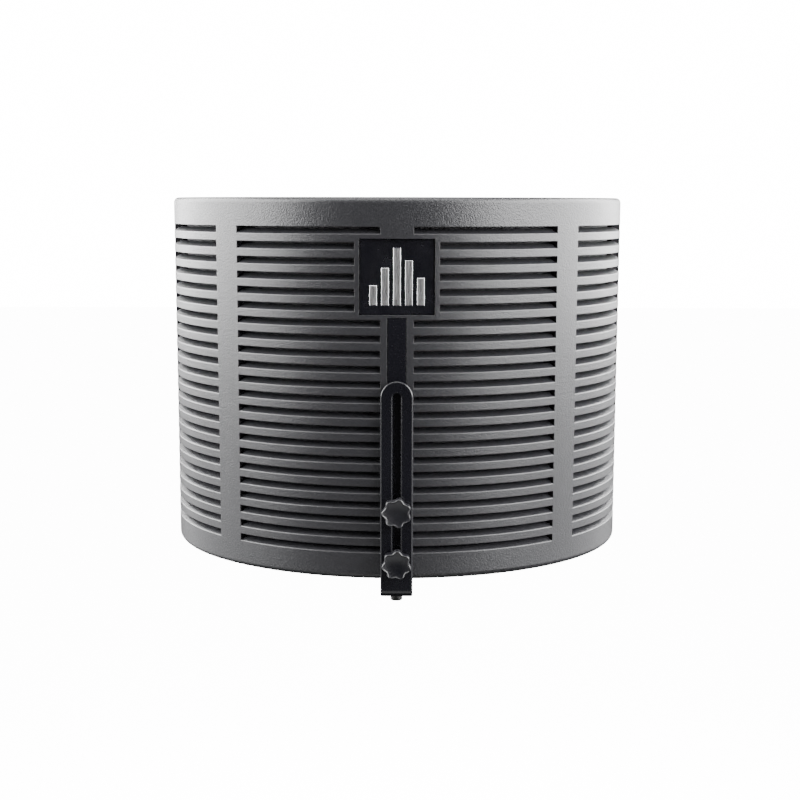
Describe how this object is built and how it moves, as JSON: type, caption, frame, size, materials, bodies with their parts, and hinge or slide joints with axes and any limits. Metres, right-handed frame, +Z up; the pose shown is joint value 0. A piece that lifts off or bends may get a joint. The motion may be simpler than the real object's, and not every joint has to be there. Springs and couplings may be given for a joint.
{
  "type": "microphone isolation shield",
  "caption": "Half-round louvred sound-absorbing panel clamped by two knobs to a slotted arm, with a stand socket and a sliding microphone post on a bar below.",
  "frame": {"origin": "centre of the stand socket's mouth, below the bar", "axes": "+Z up, +Y towards the microphone (concave) side, +X to the right when facing the convex louvred side"},
  "size_m": [0.41, 0.2292, 0.346],
  "materials": {
    "shell_plastic": "fine-grained dark grey moulding",
    "badge_plastic": "smooth satin black",
    "bright_aluminium": "brushed bright aluminium",
    "black_steel": "black powder coat on steel",
    "brass": "turned",
    "wool": "dense black felted wool",
    "foil": "rolled",
    "frame_plastic": "fine-grained black moulding",
    "foam": "open-cell charcoal foam",
    "black_screws": "black oxide",
    "pad_rubber": "matt",
    "zinc_steel": "bright zinc",
    "knob_plastic": "satin black moulding"
  },
  "bodies": {
    "stand_arm": {"bracket_arm": "black_steel", "arm_pad": "pad_rubber", "foot_screws": "black_screws", "foot_washers": "zinc_steel", "stand_bar": "black_steel", "stand_socket": "black_steel", "socket_washer": "zinc_steel", "socket_nut": "zinc_steel"},
    "shield": {"outer_shell": "shell_plastic", "badge_plate": "badge_plastic", "badge_level_bars": "bright_aluminium", "spine_strip": "black_steel", "knob_inserts": "brass", "outer_wool": "wool", "foil_sheet": "foil", "spacer_ribs": "frame_plastic", "inner_wool": "wool", "inner_foam": "foam", "top_rail": "frame_plastic", "bottom_rail": "frame_plastic", "rail_screws": "black_screws", "left_end_post": "frame_plastic", "right_end_post": "frame_plastic", "post_screws": "black_screws"},
    "upper_knob": {"upper_knob": "knob_plastic", "upper_knob_stud": "zinc_steel", "upper_knob_washer": "zinc_steel"},
    "lower_knob": {"lower_knob": "knob_plastic", "lower_knob_stud": "zinc_steel", "lower_knob_washer": "zinc_steel"},
    "mic_post": {"mic_post": "zinc_steel", "post_washer": "zinc_steel"},
    "post_nut": {"post_nut": "knob_plastic"}
  },
  "joints": [
    {"name": "shield_slide", "type": "slide", "parent": "stand_arm", "child": "shield", "axis": [0, 0, 1], "range_m": [0, 0.09]},
    {"name": "upper_knob_turn", "type": "hinge", "parent": "shield", "child": "upper_knob", "pos_m": [0, -0.1003, 0.093], "axis": [0, -1, 0], "continuous": true},
    {"name": "lower_knob_turn", "type": "hinge", "parent": "shield", "child": "lower_knob", "pos_m": [0, -0.1003, 0.05], "axis": [0, -1, 0], "continuous": true},
    {"name": "mic_post_slide", "type": "slide", "parent": "stand_arm", "child": "mic_post", "axis": [0, 1, 0], "range_m": [-0.03, 0.03]},
    {"name": "post_nut_turn", "type": "hinge", "parent": "mic_post", "child": "post_nut", "pos_m": [0, 0.065, 0.015], "axis": [0, 0, 1], "continuous": true}
  ]
}
